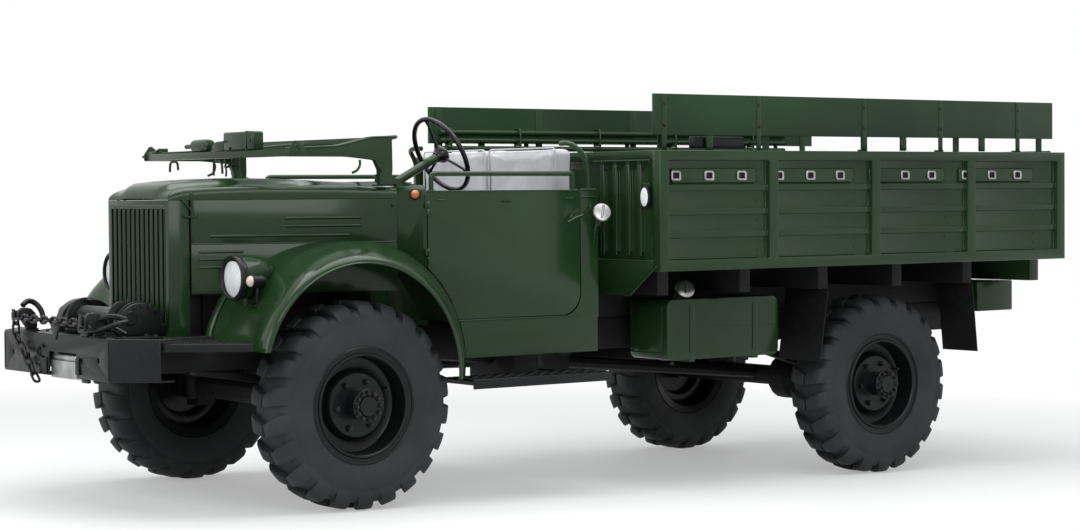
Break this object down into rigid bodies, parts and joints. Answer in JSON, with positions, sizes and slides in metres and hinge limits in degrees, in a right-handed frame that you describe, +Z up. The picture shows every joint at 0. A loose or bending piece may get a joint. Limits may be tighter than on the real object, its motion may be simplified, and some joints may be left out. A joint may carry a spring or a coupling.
{
  "type": "military cargo truck",
  "caption": "Light four-wheel-drive military cargo truck with an open cab, folded windscreen, bumper winch and steel load bed, unarmed.",
  "frame": {"origin": "on the ground, midway between the foremost and rearmost points, on the centre line", "axes": "+X towards the front bumper, +Y to the truck's left, +Z up"},
  "size_m": [5.7237, 2.17, 2.0377],
  "materials": {
    "body_paint": "satin",
    "wheel_paint": "satin",
    "chassis_paint": "satin",
    "bare_steel": "worn",
    "chain_steel": "worn",
    "tyre_rubber": "matt",
    "window_glass": "clear",
    "lamp_glass": "clear",
    "seat_cloth": "canvas",
    "black_plastic": "gloss",
    "wood_painted": "painted"
  },
  "bodies": {
    "chassis": {"frame": "chassis_paint", "front_bumper": "body_paint", "winch_frame": "body_paint", "fairlead": "bare_steel", "tow_chain": "chain_steel", "front_steps": "body_paint", "radiator_shell": "body_paint", "radiator": "chassis_paint", "bonnet": "body_paint", "bonnet_sides": "body_paint", "fenders": "body_paint", "headlamps": "body_paint", "headlamp_glass": "lamp_glass", "cowl": "body_paint", "cab_tub": "body_paint", "seat_cushion": "seat_cloth", "seat_back": "seat_cloth", "steering_column": "body_paint", "running_boards": "body_paint", "engine": "chassis_paint", "driveline": "chassis_paint", "exhaust": "chassis_paint", "fuel_tank": "body_paint", "front_axle": "chassis_paint", "rear_axle": "chassis_paint", "leaf_springs": "chassis_paint", "bed_floor": "body_paint", "bed_front": "body_paint", "bed_sides": "body_paint", "bed_racks": "wood_painted", "bows": "body_paint", "mudguards": "chassis_paint", "rear_boxes": "body_paint", "tow_pintle": "chassis_paint"},
    "winch_drum": {"winch_drum": "chassis_paint"},
    "door_left": {"door_left": "body_paint", "grab_rail_left": "body_paint"},
    "door_right": {"door_right": "body_paint", "grab_rail_right": "body_paint"},
    "windscreen": {"windscreen_frame": "body_paint", "windscreen_glass": "window_glass"},
    "steering_wheel": {"steering_wheel": "black_plastic"},
    "tailgate": {"tailgate": "body_paint"},
    "knuckle_left": {"knuckle_left": "chassis_paint"},
    "knuckle_right": {"knuckle_right": "chassis_paint"},
    "tie_rod": {"tie_rod": "chassis_paint"},
    "wheel_front_left": {"wheel_front_left": "wheel_paint", "tyre_front_left": "tyre_rubber"},
    "wheel_front_right": {"wheel_front_right": "wheel_paint", "tyre_front_right": "tyre_rubber"},
    "wheel_rear_left": {"wheel_rear_left": "wheel_paint", "tyre_rear_left": "tyre_rubber"},
    "wheel_rear_right": {"wheel_rear_right": "wheel_paint", "tyre_rear_right": "tyre_rubber"}
  },
  "joints": [
    {"name": "winch_spin", "type": "hinge", "parent": "chassis", "child": "winch_drum", "pos_m": [2.56456, 0, 0.87008], "axis": [0, 1, 0], "continuous": true},
    {"name": "door_left_hinge", "type": "hinge", "parent": "chassis", "child": "door_left", "pos_m": [1.2712, 0.789, 1.25998], "axis": [-0.023, 0, -0.9997], "range_deg": [0, 70]},
    {"name": "door_right_hinge", "type": "hinge", "parent": "chassis", "child": "door_right", "pos_m": [1.2712, -0.789, 1.25998], "axis": [0.023, 0, 0.9997], "range_deg": [0, 70]},
    {"name": "windscreen_fold", "type": "hinge", "parent": "chassis", "child": "windscreen", "pos_m": [1.45737, 0, 1.52576], "axis": [0, -1, 0], "range_deg": [0, 88]},
    {"name": "tailgate_hinge", "type": "hinge", "parent": "chassis", "child": "tailgate", "pos_m": [-2.85939, 0, 1.19509], "axis": [0, -1, 0], "range_deg": [0, 90]},
    {"name": "steering_turn", "type": "hinge", "parent": "chassis", "child": "steering_wheel", "pos_m": [0.94122, 0.4, 1.65568], "axis": [-0.8803, 0, 0.4744], "range_deg": [-560, 560]},
    {"name": "steer_left", "type": "hinge", "parent": "chassis", "child": "knuckle_left", "pos_m": [1.69535, 0.68, 0.48], "axis": [0.023, 0, 0.9997], "range_deg": [-28, 28]},
    {"name": "steer_right", "type": "hinge", "parent": "chassis", "child": "knuckle_right", "pos_m": [1.69535, -0.68, 0.48], "axis": [0.023, 0, 0.9997], "range_deg": [-28, 28]},
    {"name": "tie_rod_pin", "type": "hinge", "parent": "knuckle_left", "child": "tie_rod", "pos_m": [1.53007, 0.68, 0.4698], "axis": [0.023, 0, 0.9997], "range_deg": [-28, 28]},
    {"name": "spin_front_left", "type": "hinge", "parent": "knuckle_left", "child": "wheel_front_left", "pos_m": [1.69535, 0.794, 0.48], "axis": [0, 1, 0], "continuous": true},
    {"name": "spin_front_right", "type": "hinge", "parent": "knuckle_right", "child": "wheel_front_right", "pos_m": [1.69535, -0.794, 0.48], "axis": [0, 1, 0], "continuous": true},
    {"name": "spin_rear_left", "type": "hinge", "parent": "chassis", "child": "wheel_rear_left", "pos_m": [-1.60465, 0.8, 0.48], "axis": [0, 1, 0], "continuous": true},
    {"name": "spin_rear_right", "type": "hinge", "parent": "chassis", "child": "wheel_rear_right", "pos_m": [-1.60465, -0.8, 0.48], "axis": [0, 1, 0], "continuous": true}
  ],
  "couplings": [
    {"joint": "steer_left", "follows": "steering_turn", "ratio": 0.05},
    {"joint": "steer_right", "follows": "steering_turn", "ratio": 0.05},
    {"joint": "tie_rod_pin", "follows": "steering_turn", "ratio": -0.05}
  ]
}
